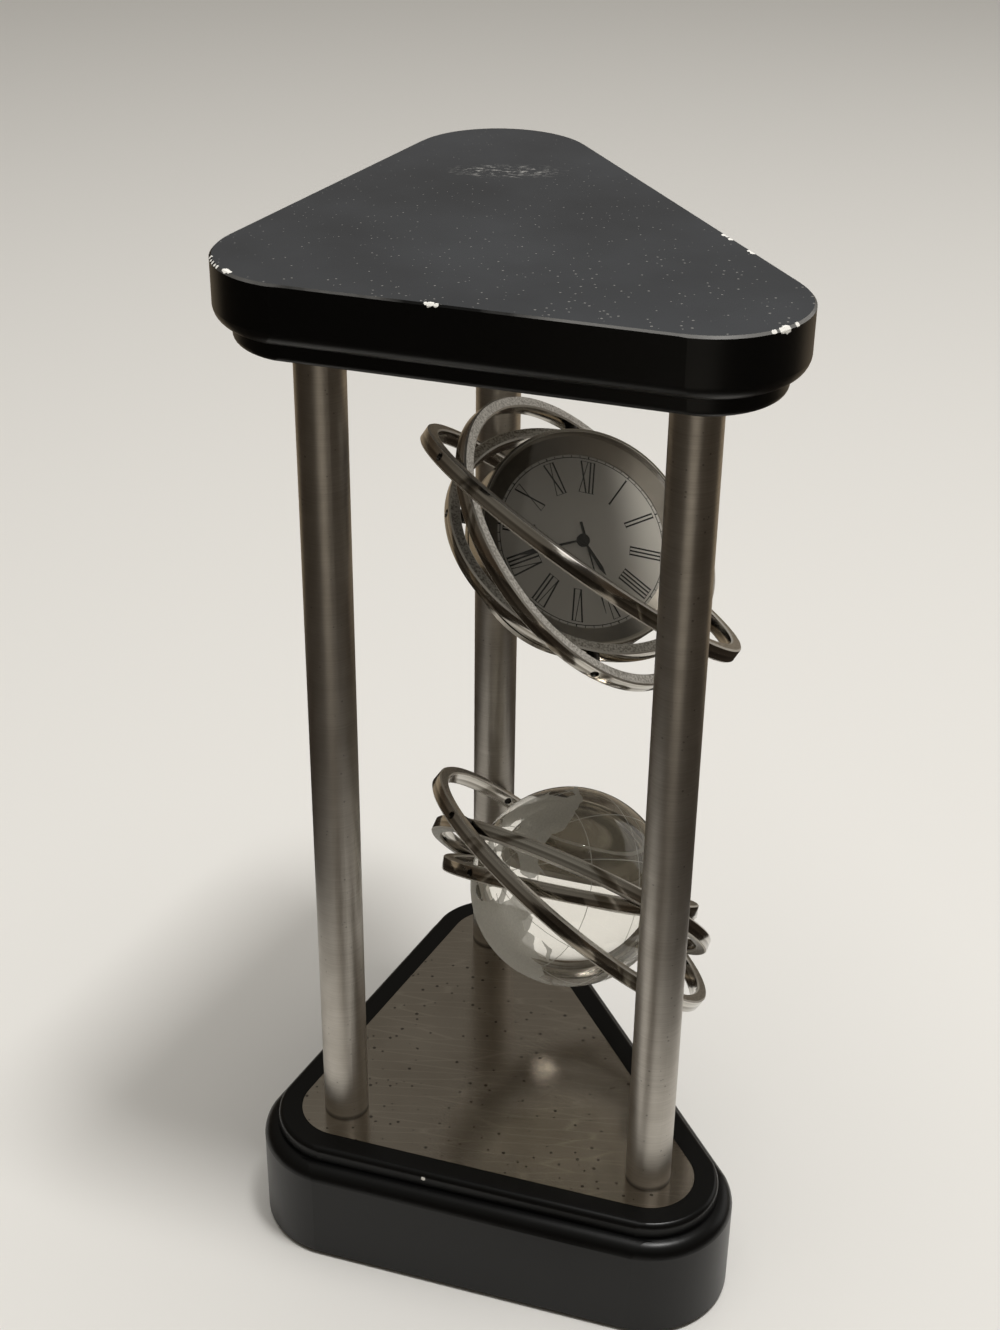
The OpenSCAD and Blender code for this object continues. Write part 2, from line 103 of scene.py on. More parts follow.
def linear(hex_colour):
    """An sRGB hex colour as linear RGBA."""
    parts = [int(hex_colour[i:i + 2], 16) / 255 for i in (1, 3, 5)]
    return [c / 12.92 if c <= 0.04045 else ((c + 0.055) / 1.055) ** 2.4 for c in parts] + [1.0]


def add(tree, kind, inputs=None, **settings):
    """Adds a shader node with its settings; inputs maps a socket to a value or to the output linked to it."""
    node = tree.nodes.new("ShaderNode" + kind)
    for name, value in settings.items():
        setattr(node, name, value)
    for key, value in (inputs or {}).items():
        if isinstance(value, bpy.types.NodeSocket):
            tree.links.new(value, node.inputs[key])
        else:
            node.inputs[key].default_value = value
    return node


def start(name, **sockets):
    """A new material: its tree, its Principled shader with these socket values, and its coordinates."""
    material = bpy.data.materials.new(name)
    material.use_nodes = True
    tree = material.node_tree
    shader = tree.nodes["Principled BSDF"]
    for key, value in sockets.items():
        shader.inputs[key.replace("_", " ")].default_value = value
    return material, tree, shader, add(tree, "TexCoord").outputs


print("linear mid grey", [round(c, 3) for c in linear("#808080")[:3]])

# %% [markdown]
# ## Black lacquer on moulded board
# The base and the cap are moulded board under primer and satin black lacquer, which shines like a plastic
# film (IOR 1.5). It has dulled with age, so its specular level is lowered. Its wear could be painted, but
# nodes stay sharp at any distance, so each kind of wear is a short run of nodes that lays its tone over the
# last one.
# Masks come first: the cap is all that lies above a height, and the shelf is the cap's level upper face.

# %% Lacquer and its masks
cap_from = 200.0
cloud_size = 30.0
black_lacquer, tree, shader, coords = start("satin_black_lacquer", IOR=1.5, Specular_IOR_Level=0.32)
place = coords["Object"]
spot = add(tree, "SeparateXYZ", {0: place}).outputs
up = add(tree, "SeparateXYZ", {0: coords["Normal"]}).outputs["Z"]
on_cap = add(tree, "Math", {0: spot["Z"], 1: cap_from * MM}, operation="GREATER_THAN").outputs[0]
shelf = add(tree, "MapRange", {"Value": up, "From Min": 0.8, "From Max": 0.99,
                               "To Max": on_cap}).outputs[0]
cloud = add(tree, "TexNoise", {"Vector": place, "Scale": 1 / (cloud_size * MM), "Detail": 4.0}).outputs[0]
print("lacquer, the cap from", cap_from, "mm up")

# %% [markdown]
# ### Film and dust
# The cap is the shelf of the object: it has gathered a grey film, which lies in clouds, and specks of
# dust, while the faces below it have stayed black. The specks measure 0.1 to 0.6 mm. They lie one to a
# cell in some cells of a Voronoi pattern, larger and more towards +X.

# %% Film and dust
dust_cell = 1.7
film = add(tree, "MapRange", {"Value": cloud, "From Min": 0.3, "From Max": 0.7, "To Min": 0.75}).outputs[0]
film = add(tree, "Math", {0: film, 1: shelf}, operation="MULTIPLY").outputs[0]
tone = add(tree, "Mix", {"Factor": film, "A": linear("#050505"), "B": linear("#3F4144")},
           data_type="RGBA").outputs["Result"]

cell = add(tree, "TexVoronoi", {"Vector": place, "Scale": 1 / (dust_cell * MM)},
           voronoi_dimensions="2D").outputs
lot = add(tree, "SeparateColor", {0: cell["Color"]}).outputs[0]
largest = add(tree, "MapRange", {"Value": spot["X"], "From Min": -50 * MM, "From Max": 70 * MM,
                                 "To Min": 0.08, "To Max": 0.17}).outputs[0]
size = add(tree, "MapRange", {"Value": lot, "From Min": 0.72, "To Max": largest}).outputs[0]
speck = add(tree, "Math", {0: cell["Distance"], 1: size}, operation="LESS_THAN").outputs[0]
speck = add(tree, "Math", {0: speck, 1: shelf}, operation="MULTIPLY").outputs[0]
tone = add(tree, "Mix", {"Factor": speck, "A": tone, "B": linear("#7B7A78")},
           data_type="RGBA").outputs["Result"]
print("film in clouds of", cloud_size, "mm, dust in cells of", dust_cell, "mm")

# %% [markdown]
# ### Rubbed places
# Near its back corner the cap has a rubbed patch: streaks in an oval, drawn in the oval's own coordinates.
# The bevel round the cap's top is rubbed grey in places. It is found by its normal, which leans by 45
# degrees.

# %% Rubbed patch and bevel
rub_at = (-37.0, 26.0, 257.0)
rub_angle = math.radians(67.4)
rub_size = (13.0, 5.5)
LEAN_45 = 0.707
oval = add(tree, "Mapping", {0: place, "Location": Vector(rub_at) * MM, "Rotation": (0, 0, rub_angle),
                             "Scale": (rub_size[0] * MM, rub_size[1] * MM, 1)},
           vector_type="TEXTURE").outputs[0]
reach = add(tree, "VectorMath", {0: oval}, operation="LENGTH").outputs["Value"]
inside = add(tree, "MapRange", {"Value": reach, "From Min": 0.5, "From Max": 1.1,
                                "To Min": 1.0, "To Max": 0.0}).outputs[0]
streak = add(tree, "TexNoise", {"Vector": oval, "Scale": 5.0, "Detail": 6.0, "Roughness": 0.7}).outputs[0]
streak = add(tree, "MapRange", {"Value": streak, "From Min": 0.53, "From Max": 0.62,
                                "To Max": inside}).outputs[0]
streak = add(tree, "Math", {0: streak, 1: shelf}, operation="MULTIPLY").outputs[0]
tone = add(tree, "Mix", {"Factor": streak, "A": tone, "B": linear("#9C9B98")},
           data_type="RGBA").outputs["Result"]

bevel = add(tree, "Math", {0: up, 1: LEAN_45, 2: 0.12}, operation="COMPARE").outputs[0]
bevel = add(tree, "Math", {0: bevel, 1: on_cap}, operation="MULTIPLY").outputs[0]
worn = add(tree, "MapRange", {"Value": cloud, "From Min": 0.42, "From Max": 0.6, "To Max": bevel}).outputs[0]
tone = add(tree, "Mix", {"Factor": worn, "A": tone, "B": linear("#6C6B69")},
           data_type="RGBA").outputs["Result"]
print("rubbed patch of", rub_size, "mm")

# %% [markdown]
# ### Chips
# Where an edge was knocked the white primer shows. Each chip is a ball given by its place and radius in
# millimetres, and what is nearer to it than its radius is primer. A little noise makes the outline ragged.

# %% Places of the chips
chips = [(-4.1, -50.5, 256.7, 0.5), (-2.4, -50.8, 256.6, 0.45), (-0.9, -50.9, 256.6, 0.45),
         (0.6, -50.9, 256.6, 0.4), (1.9, -50.8, 256.7, 0.4), (4.6, -50.0, 256.9, 0.7),
         (5.4, -49.8, 256.9, 0.7), (6.2, -49.5, 256.9, 0.5), (35.2, -20.1, 256.8, 0.45),
         (35.9, -19.4, 256.9, 0.75), (36.7, -18.6, 256.8, 0.5), (19.6, 50.8, 256.9, 0.75),
         (20.8, 50.9, 256.8, 0.6), (22.4, 50.8, 256.9, 0.8), (30.3, 50.8, 256.9, 0.7),
         (31.6, 50.8, 256.9, 0.75), (71.0, 33.8, 256.8, 0.55), (70.6, 35.6, 256.7, 0.7),
         (70.2, 36.8, 256.7, 0.95), (69.1, 39.6, 256.8, 0.55), (71.3, 36.5, 253.6, 0.3),
         (30.2, -20.8, 30.9, 0.55)]
print(len(chips), "chips in the lacquer")

# %% Chips in the lacquer
ragged_size = 0.7
nearest = 9.0  # in radii, more than any chip's edge
for x, y, z, radius in chips:
    away = add(tree, "VectorMath", {0: place, 1: Vector((x, y, z)) * MM},
               operation="DISTANCE").outputs["Value"]
    away = add(tree, "Math", {0: away, 1: radius * MM}, operation="DIVIDE").outputs[0]
    nearest = add(tree, "Math", {0: away, 1: nearest}, operation="MINIMUM").outputs[0]
ragged = add(tree, "TexNoise", {"Vector": place, "Scale": 1 / (ragged_size * MM), "Detail": 3.0}).outputs[0]
edge = add(tree, "Math", {0: ragged, 1: nearest}, operation="ADD").outputs[0]
chipped = add(tree, "MapRange", {"Value": edge, "From Min": 1.4, "From Max": 1.55,
                                 "To Min": 1.0, "To Max": 0.0}).outputs[0]
tone = add(tree, "Mix", {"Factor": chipped, "A": tone, "B": linear("#EDEBE5")},
           data_type="RGBA").outputs["Result"]
tree.links.new(tone, shader.inputs["Base Color"])
print("lacquer tones in", len(tree.nodes), "nodes")

# %% [markdown]
# ### Shine and orange peel
# Satin lacquer mirrors dimly, a little clearer in some places than in others. Sprayed film dries with a
# faint orange peel, about 1.2 mm from hill to hill. Primer is dull, and lies a film's thickness lower.

# %% Shine of the lacquer
peel_size = 1.2
rough = add(tree, "MapRange", {"Value": cloud, "To Min": 0.26, "To Max": 0.4}).outputs[0]
rough = add(tree, "Math", {0: chipped, 1: 0.35, 2: rough}, operation="MULTIPLY_ADD").outputs[0]
tree.links.new(rough, shader.inputs["Roughness"])
peel = add(tree, "TexNoise", {"Vector": place, "Scale": 1 / (peel_size * MM), "Detail": 2.0}).outputs[0]
height = add(tree, "Math", {0: chipped, 1: -4.0, 2: peel}, operation="MULTIPLY_ADD").outputs[0]
bump = add(tree, "Bump", {"Height": height, "Strength": 0.06, "Distance": 0.1 * MM})
tree.links.new(bump.outputs[0], shader.inputs["Normal"])
print("lacquer with", len(tree.nodes), "nodes")

# %% [markdown]
# ## Satin steel for the posts
# The posts are drawn stainless bar, spun against an abrasive, so the grain runs round them in fine rings.
# Real grain is about 0.05 mm wide, too fine for the render, so it is drawn at about 0.25 mm. The grain is
# noise, stretched round the post: that needs no unwrapping, and the rings close on themselves.

# %% Post steel grain
post_grain, post_run = 0.25, 50 / 3
post_stain = 9.0
post_steel, tree, shader, coords = start("spun_satin_stainless", Metallic=1.0)
place = coords["Object"]
rings = add(tree, "Mapping", {0: place, "Scale": (1 / (post_run * MM), 1 / (post_run * MM),
                                                  1 / (post_grain * MM))}).outputs[0]
grain = add(tree, "TexNoise", {"Vector": rings, "Scale": 1.0, "Detail": 3.0}).outputs[0]
stains = add(tree, "TexNoise", {"Vector": place, "Scale": 1 / (post_stain * MM), "Detail": 5.0}).outputs[0]
tone = add(tree, "Mix", {"Factor": stains, "A": linear("#B4AEA5"), "B": linear("#DED9D1")},
           data_type="RGBA").outputs["Result"]
streak = add(tree, "MapRange", {"Value": grain, "From Min": 0.3, "From Max": 0.7,
                                "To Min": 0.0, "To Max": 0.22}).outputs[0]
tone = add(tree, "Mix", {"Factor": streak, "A": tone, "B": linear("#8A837A")},
           data_type="RGBA").outputs["Result"]
rough = add(tree, "MapRange", {"Value": grain, "To Min": 0.28, "To Max": 0.5}).outputs[0]
tree.links.new(rough, shader.inputs["Roughness"])
bump = add(tree, "Bump", {"Height": grain, "Strength": 0.18, "Distance": 0.05 * MM})
tree.links.new(bump.outputs[0], shader.inputs["Normal"])
print("post steel, grain drawn at", post_grain, "mm")

# %% [markdown]
# ### Pits and a painted shadow at the feet
# Small dark pits are strewn over the posts, one to a cell in some cells. At each foot a thin dark line is
# painted as the shadow where the post meets the inlay; it fades between two heights over the inlay.

# %% Post steel pits and feet
post_pit_cell = 1.4
foot_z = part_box("base_inlay")[1].z
foot_shade_low, foot_shade_high = foot_z + 0.3 * MM, foot_z + 1.1 * MM
cell = add(tree, "TexVoronoi", {"Vector": place, "Scale": 1 / (post_pit_cell * MM)}).outputs
lot = add(tree, "SeparateColor", {0: cell["Color"]}).outputs[0]
size = add(tree, "MapRange", {"Value": lot, "From Min": 0.78, "To Max": 0.2}).outputs[0]
pit = add(tree, "Math", {0: cell["Distance"], 1: size}, operation="LESS_THAN").outputs[0]
height = add(tree, "SeparateXYZ", {0: place}).outputs["Z"]
# Painted shadow: the steel darkens towards the foot, where the post meets the inlay.
foot_shade = add(tree, "MapRange", {"Value": height, "From Min": foot_shade_low, "From Max": foot_shade_high,
                              "To Min": 0.65, "To Max": 0.0}).outputs[0]
dark = add(tree, "Math", {0: pit, 1: 0.38, 2: foot_shade}, operation="MULTIPLY_ADD", use_clamp=True).outputs[0]
tone = add(tree, "Mix", {"Factor": dark, "A": tone, "B": linear("#2B2723")},
           data_type="RGBA").outputs["Result"]
tree.links.new(tone, shader.inputs["Base Color"])
print("post steel, feet at", round(foot_z / MM, 2), "mm")

# %% [markdown]
# ## Brushed steel for the inlay
# The plate let into the base was brushed straight on a belt, so it mirrors the posts and the globe dimly
# and draws the images out along the brushing. Noise that is stretched along the brushing gives that grain,
# about 0.4 mm wide, where a real belt's is finer than the render can show.

# %% Inlay steel grain
brushing = math.radians(35)
grain_long, grain_wide = 25.0, 0.4
inlay_stain = 22.0
inlay_steel, tree, shader, coords = start("belt_brushed_steel", Metallic=1.0)
place = coords["Object"]
along = add(tree, "Mapping", {0: place, "Rotation": (0, 0, brushing),
                              "Scale": (grain_long * MM, grain_wide * MM, 1)},
            vector_type="TEXTURE").outputs[0]
grain = add(tree, "TexNoise", {"Vector": along, "Scale": 1.0, "Detail": 4.0}).outputs[0]
stains = add(tree, "TexNoise", {"Vector": place, "Scale": 1 / (inlay_stain * MM), "Detail": 6.0}).outputs[0]
tone = add(tree, "Mix", {"Factor": stains, "A": linear("#A79E93"), "B": linear("#D1C9BE")},
           data_type="RGBA").outputs["Result"]
rough = add(tree, "MapRange", {"Value": grain, "To Min": 0.1, "To Max": 0.24}).outputs[0]
tree.links.new(rough, shader.inputs["Roughness"])
bump = add(tree, "Bump", {"Height": grain, "Strength": 0.2, "Distance": 0.05 * MM})
tree.links.new(bump.outputs[0], shader.inputs["Normal"])
print("inlay steel, brushed at", round(math.degrees(brushing)), "degrees")

# %% [markdown]
# ### Scratches and pits
# Years of handling left long scratches and small dark pits. The scratches are the edges of very long
# cells that lie half a radian across the brushing. They are drawn about 0.2 mm wide, which is wider than
# real ones, so that they show.

# %% Inlay steel scratches and pits
scratch_turn = brushing + 0.5
scratch_long, scratch_apart = 30.0, 3.0
inlay_pit_cell = 2.2
crossed = add(tree, "Mapping", {0: place, "Rotation": (0, 0, scratch_turn),
                                "Scale": (scratch_long * MM, scratch_apart * MM, 1)},
              vector_type="TEXTURE").outputs[0]
scratch = add(tree, "TexVoronoi", {"Vector": crossed, "Scale": 1.0}, voronoi_dimensions="2D",
              feature="DISTANCE_TO_EDGE").outputs["Distance"]
scratch = add(tree, "MapRange", {"Value": scratch, "From Min": 0.0, "From Max": 0.06,
                                 "To Min": 0.5, "To Max": 0.0}).outputs[0]
tone = add(tree, "Mix", {"Factor": scratch, "A": tone, "B": linear("#DAD2C6")},
           data_type="RGBA").outputs["Result"]
cell = add(tree, "TexVoronoi", {"Vector": place, "Scale": 1 / (inlay_pit_cell * MM)},
           voronoi_dimensions="2D").outputs
lot = add(tree, "SeparateColor", {0: cell["Color"]}).outputs[0]
size = add(tree, "MapRange", {"Value": lot, "From Min": 0.78, "To Max": 0.22}).outputs[0]
pit = add(tree, "Math", {0: cell["Distance"], 1: size}, operation="LESS_THAN").outputs[0]
dark = add(tree, "Math", {0: pit, 1: 0.7}, operation="MULTIPLY").outputs[0]
tone = add(tree, "Mix", {"Factor": dark, "A": tone, "B": linear("#2E2924")},
           data_type="RGBA").outputs["Result"]
tree.links.new(tone, shader.inputs["Base Color"])
print("scratches", scratch_apart, "mm apart, pits in cells of", inlay_pit_cell, "mm")

# %% [markdown]
# ## Ring steel
# Each ring was parted from a tube on a lathe: its round faces are polished and a little crowned, with fine
# lathe lines that run round, and its flat sides are satin. Both are one material. The ring's axis is known
# from its joints, so a face is a flat side where its normal lies along that axis. The distance from the
# ring's middle plane gives the crown and the lines, which bend the mirror image into long light and dark
# streaks. The broken edges are the roughest, so they catch light from all round, and their tone is painted
# lighter, a painted highlight, so that they show as thin bright lines.
# Real lathe lines are finer than 0.1 mm: these are 0.9 mm apart, so that they show.

# %% Ring steel
crown_r = 11.0
lathe_pitch, lathe_h = 0.9, 0.015
grit_size, grit_h = 0.5, 0.008
wear_size = 6.0


def ring_finish(name, axis, centre):
    material, tree, shader, coords = start(name, Metallic=1.0)
    place = coords["Object"]
    along = add(tree, "VectorMath", {0: coords["Normal"], 1: axis}, operation="DOT_PRODUCT").outputs["Value"]
    facing = add(tree, "Math", {0: along}, operation="ABSOLUTE").outputs[0]
    side = add(tree, "MapRange", {"Value": facing, "From Min": 0.8, "From Max": 0.95}).outputs[0]
    edge = add(tree, "Math", {0: facing, 1: LEAN_45, 2: 0.15}, operation="COMPARE").outputs[0]
    away = add(tree, "VectorMath", {0: place, 1: centre}, operation="SUBTRACT").outputs[0]
    lane = add(tree, "VectorMath", {0: away, 1: axis}, operation="DOT_PRODUCT").outputs["Value"]
    lathe = add(tree, "TexNoise", {"W": lane, "Scale": 1 / (lathe_pitch * MM), "Detail": 2.0},
                noise_dimensions="1D").outputs[0]
    grit = add(tree, "TexNoise", {"Vector": place, "Scale": 1 / (grit_size * MM), "Detail": 2.0}).outputs[0]
    wear = add(tree, "TexNoise", {"Vector": place, "Scale": 1 / (wear_size * MM), "Detail": 4.0}).outputs[0]

    polished = add(tree, "MapRange", {"Value": wear, "To Min": 0.06, "To Max": 0.2}).outputs[0]
    satin = add(tree, "MapRange", {"Value": grit, "To Min": 0.28, "To Max": 0.5}).outputs[0]
    rough = add(tree, "Mix", {"Factor": side, "A": polished, "B": satin}).outputs["Result"]
    rough = add(tree, "Mix", {"Factor": edge, "A": rough, "B": 0.65}).outputs["Result"]
    tree.links.new(rough, shader.inputs["Roughness"])

    streak = add(tree, "MapRange", {"Value": lathe, "From Min": 0.35, "From Max": 0.65}).outputs[0]
    turned = add(tree, "Mix", {"Factor": streak, "A": linear("#8E8980"), "B": linear("#D2CEC6")},
                 data_type="RGBA").outputs["Result"]
    grain = add(tree, "MapRange", {"Value": grit, "From Min": 0.35, "From Max": 0.6}).outputs[0]
    blasted = add(tree, "Mix", {"Factor": grain, "A": linear("#8F8A81"), "B": linear("#CFCBC3")},
                  data_type="RGBA").outputs["Result"]
    tone = add(tree, "Mix", {"Factor": side, "A": turned, "B": blasted}, data_type="RGBA").outputs["Result"]
    # Painted highlight: the broken edges take a lighter tone, so they read as bright lines.
    tone = add(tree, "Mix", {"Factor": edge, "A": tone, "B": linear("#E2DED6")},
               data_type="RGBA").outputs["Result"]
    tree.links.new(tone, shader.inputs["Base Color"])

    # The height is in metres: the crown's arc, the lathe lines and the grit of the satin sides.
    arc = add(tree, "Math", {0: lane, 1: lane}, operation="MULTIPLY").outputs[0]
    height = add(tree, "Math", {0: lathe, 1: lathe_h * MM}, operation="MULTIPLY").outputs[0]
    height = add(tree, "Math", {0: arc, 1: -0.5 / (crown_r * MM), 2: height},
                 operation="MULTIPLY_ADD").outputs[0]
    sand = add(tree, "Math", {0: grit, 1: side}, operation="MULTIPLY").outputs[0]
    height = add(tree, "Math", {0: sand, 1: grit_h * MM, 2: height}, operation="MULTIPLY_ADD").outputs[0]
    bump = add(tree, "Bump", {"Height": height, "Strength": 1.0, "Distance": 1.0})
    tree.links.new(bump.outputs[0], shader.inputs["Normal"])
    return material


print("ring faces crowned to a radius of", crown_r, "mm")

# %% [markdown]
# ### A steel for each ring
# A ring's own axis is square to the pivots that carry it and to the pivots that it carries, so the cross
# product of two joint axes gives it.

# %% Steel of the six rings


def axis_of(name):
    return Vector(joints[name]["axis"]).normalized()


ring_steels = {}
for stem in ("clock", "globe"):
    outer = axis_of(f"{stem}_outer_turn")
    middle = axis_of(f"{stem}_middle_turn")
    inner = axis_of(f"{stem}_inner_turn")
    last = axis_of(f"{stem}_turn")
    centre = Vector(joints[f"{stem}_turn"]["pos_m"])
    axes = {"outer": outer.cross(middle), "middle": inner.cross(middle), "inner": inner.cross(last)}
    for ring, axis in axes.items():
        steel = ring_finish(f"polished_and_satin_steel_{stem}_{ring}", axis, centre)
        ring_steels[f"{stem}_{ring}_ring"] = steel
print(len(ring_steels), "rings")

# %% [markdown]
# ## Small metals, paint, plastic and felt
# Turned and plated metals are bright with a blurred mirror image: zinc is bluish, brass yellow and nickel
# nearly white. The pins are painted dark, a painted shade that stands for recessed pivot holes, so they show
# as dark dots. The dial's paint holds metal flake, so it is a little metallic and dull. Hands and print are
# dull black, moulded plastic has a low shine, and wool felt has none, only a soft sheen from its loose
# fibres.
# These finishes differ in few numbers: the colours of two patches, metallic, roughness, and the size of the
# pattern in millimetres. One function takes them and makes a mottled finish with a fine grain.

# %% Plain finishes
grain_h = 0.05


def mottled(name, dark, light, metallic, rough_low, rough_high, patch_mm, bump=0.1, **sockets):
    material, tree, shader, coords = start(name, Metallic=metallic, **sockets)
    patch = add(tree, "TexNoise", {"Vector": coords["Object"], "Scale": 1 / (patch_mm * MM),
                                   "Detail": 4.0}).outputs[0]
    tone = add(tree, "Mix", {"Factor": patch, "A": linear(dark), "B": linear(light)}, data_type="RGBA")
    tree.links.new(tone.outputs["Result"], shader.inputs["Base Color"])
    rough = add(tree, "MapRange", {"Value": patch, "To Min": rough_low, "To Max": rough_high})
    tree.links.new(rough.outputs[0], shader.inputs["Roughness"])
    lift = add(tree, "Bump", {"Height": patch, "Strength": bump, "Distance": grain_h * MM})
    tree.links.new(lift.outputs[0], shader.inputs["Normal"])
    return material


case_steel = mottled("turned_case_steel", "#A8A296", "#C4BFB5", 1.0, 0.14, 0.3, 2.0)
bezel_steel = mottled("polished_bezel_steel", "#B9B3A9", "#D0CAC0", 1.0, 0.3, 0.42, 2.0)
# Painted shade: the pins are painted dark to stand for the shade of recessed pivot holes.
pin_steel_painted_dark = mottled("pin_steel_painted_dark_for_hole_shade", "#2B2826", "#413D39", 1.0, 0.3, 0.45, 0.6)
zinc = mottled("zinc_plated_steel", "#A9ABAE", "#C3C5C8", 1.0, 0.3, 0.45, 0.8)
brass = mottled("turned_brass", "#A98A46", "#C2A45C", 1.0, 0.25, 0.4, 0.6)
nickel = mottled("nickel_plated_cell", "#BDBBB6", "#D2D0CB", 1.0, 0.15, 0.3, 0.8)
aluminium = mottled("turned_aluminium", "#B2B3B5", "#C9CACC", 1.0, 0.25, 0.4, 0.5)
dial_paint = mottled("silver_dial_paint", "#D8D6D1", "#E2E0DB", 0.2, 0.45, 0.55, 0.4)
hand_enamel = mottled("black_hand_enamel", "#050505", "#0C0C0C", 0.0, 0.5, 0.6, 0.5)
dial_ink = mottled("black_dial_ink", "#060607", "#0E0E0F", 0.0, 0.6, 0.7, 0.3)
holder_plastic = mottled("moulded_white_plastic", "#CFCEC8", "#DDDCD7", 0.0, 0.4, 0.55, 0.7)
movement_plastic = mottled("moulded_black_plastic", "#141416", "#202022", 0.0, 0.35, 0.5, 0.5)
felt = mottled("pressed_wool_felt", "#0E130F", "#1C241E", 0.0, 0.9, 1.0, 0.35, bump=1.0, Sheen_Weight=0.4)
print(len(bpy.data.materials), "materials so far")

# %% [markdown]
# ## Glass
# The lens is a flat pane, so nothing seen through it is displaced: it is drawn as a clear film that mirrors
# a little by Fresnel's law, which keeps the dial free of noise. Finger marks make the mirror image uneven.

# %% Lens glass
smear_size = 5.0
lens_glass, tree, shader, coords = start("flat_lens_glass")
tree.nodes.remove(shader)
smear = add(tree, "TexNoise", {"Vector": coords["Object"], "Scale": 1 / (smear_size * MM)}).outputs[0]
rough = add(tree, "MapRange", {"Value": smear, "To Min": 0.0, "To Max": 0.06}).outputs[0]
clear = add(tree, "BsdfTransparent", {"Color": linear("#F8F7F5")}).outputs[0]
mirror = add(tree, "BsdfGlossy", {"Roughness": rough}).outputs[0]
share = add(tree, "Fresnel", {"IOR": 1.5}).outputs[0]
both = add(tree, "MixShader", {0: share, 1: clear, 2: mirror})
tree.links.new(both.outputs[0], tree.nodes["Material Output"].inputs["Surface"])
print("lens glass with", len(tree.nodes), "nodes")

# %% [markdown]
# ### Crystal
# The globe is a solid ball of polished crystal (IOR 1.52) that turns the room upside down, so it needs true
# refraction. A faint haze of handling is all that its surface shows.

# %% Crystal
haze_size = 12.0
crystal, tree, shader, coords = start("clear_crystal", IOR=1.52, Transmission_Weight=1.0,
                                      Base_Color=linear("#FBF9F3"))
haze = add(tree, "TexNoise", {"Vector": coords["Object"], "Scale": 1 / (haze_size * MM)}).outputs[0]
rough = add(tree, "MapRange", {"Value": haze, "To Min": 0.0, "To Max": 0.015}).outputs[0]
tree.links.new(rough, shader.inputs["Roughness"])
print("crystal with", len(tree.nodes), "nodes")

# %% [markdown]
# ### Frost
# The map was sand-blasted into the ball. Blasted glass scatters light to both sides and stays partly clear:
# a grit of 0.5 mm, coarser than the real one so that it shows, says how much of it is clear.

# %% Frost
frost_grit = 0.5
frost, tree, shader, coords = start("sand_blasted_frost")
tree.nodes.remove(shader)
grit = add(tree, "TexNoise", {"Vector": coords["Object"], "Scale": 1 / (frost_grit * MM),
                              "Detail": 3.0}).outputs[0]
share = add(tree, "MapRange", {"Value": grit, "To Min": 0.6, "To Max": 0.9}).outputs[0]
clear = add(tree, "BsdfTransparent").outputs[0]
front = add(tree, "BsdfDiffuse", {"Color": linear("#D8D6CE")}).outputs[0]
through = add(tree, "BsdfTranslucent", {"Color": linear("#D8D6CE")}).outputs[0]
scatter = add(tree, "MixShader", {0: 0.5, 1: front, 2: through}).outputs[0]
both = add(tree, "MixShader", {0: share, 1: clear, 2: scatter})
tree.links.new(both.outputs[0], tree.nodes["Material Output"].inputs["Surface"])
print("frost with", len(tree.nodes), "nodes")

# %% [markdown]
# ## Dressing the solids
# Each solid keeps its CAD shape, and its one material slot takes the finish made for it above.

# %% Finishes on the solids
finishes = {
    black_lacquer: ["base_plinth", "top_cap"],
    inlay_steel: ["base_inlay"],
    felt: ["base_felt"],
    zinc: ["base_screws", "base_washers", "cap_studs"],
    brass: ["cap_inserts"],
    post_steel: ["front_post", "right_post", "left_post"],
    pin_steel_painted_dark: [name for name in nodes if name.endswith("_pins")],
    case_steel: ["clock_case", "clock_back"],
    bezel_steel: ["clock_bezel"],
    lens_glass: ["clock_lens"],
    dial_paint: ["clock_dial"],
    hand_enamel: ["hour_hand", "minute_hand", "second_hand"],
    holder_plastic: ["movement_holder"],
    movement_plastic: ["movement", "setting_knob"],
    nickel: ["button_cell"],
    crystal: ["crystal_globe"],
    aluminium: ["globe_bushes"],
}
finishes.update({material: [ring] for ring, material in ring_steels.items()})
for material, names in finishes.items():
    for name in names:
        nodes[name].material_slots[0].material = material
bare = set(nodes) - {name for names in finishes.values() for name in names}
print(sum(map(len, finishes.values())), "solids dressed, left bare:", sorted(bare))

# %% [markdown]
# ## New pieces
# A new piece is a mesh from points and faces, already in place in the clock's frame. It takes a material
# and rides on a body. The points are worked out in a frame at a joint's centre, where the dial and the globe
# are easy to describe.

# %% Making a piece


def piece(name, points, faces, material, body):
    mesh = bpy.data.meshes.new(name)
    mesh.from_pydata([tuple(p) for p in points], [], faces)
    mesh.materials.append(material)
    mesh.validate()
    made = bpy.data.objects.new(name, mesh)
    bpy.context.scene.collection.objects.link(made)
    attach(made, body)
    print(name, len(mesh.vertices), "points,", len(mesh.polygons), "faces")
    return made


def frame_at(joint, x_axis, z_axis):
    """A frame at a joint's centre with these axes."""
    y_axis = z_axis.cross(x_axis)
    turned = Matrix((x_axis, y_axis, z_axis)).transposed().to_4x4()
    return Matrix.Translation(joints[joint]["pos_m"]) @ turned


# %% [markdown]
# ## Printing on the dial
# The dial carries tall Roman numerals that stand on the hub's side, and a fine minute track near the edge.
# A texture would need an image, so each stroke is a flat bar 0.02 mm thick, as pad-printed ink is.
# The dial's frame has twelve at +Y and three at +X, and follows from the joints: the clock's pivots run
# through three and nine, and the hands turn about the normal.

# %% A bar of ink
dial_top = 0.4
ink_gap = 0.005
ink_t = 0.02
clock_frame = frame_at("clock_turn", axis_of("clock_turn"), -axis_of("minute_turn"))
ink_points, ink_faces = [], []
box_faces = ((3, 2, 1, 0), (4, 5, 6, 7), (0, 1, 5, 4), (1, 2, 6, 5), (2, 3, 7, 6), (3, 0, 4, 7))


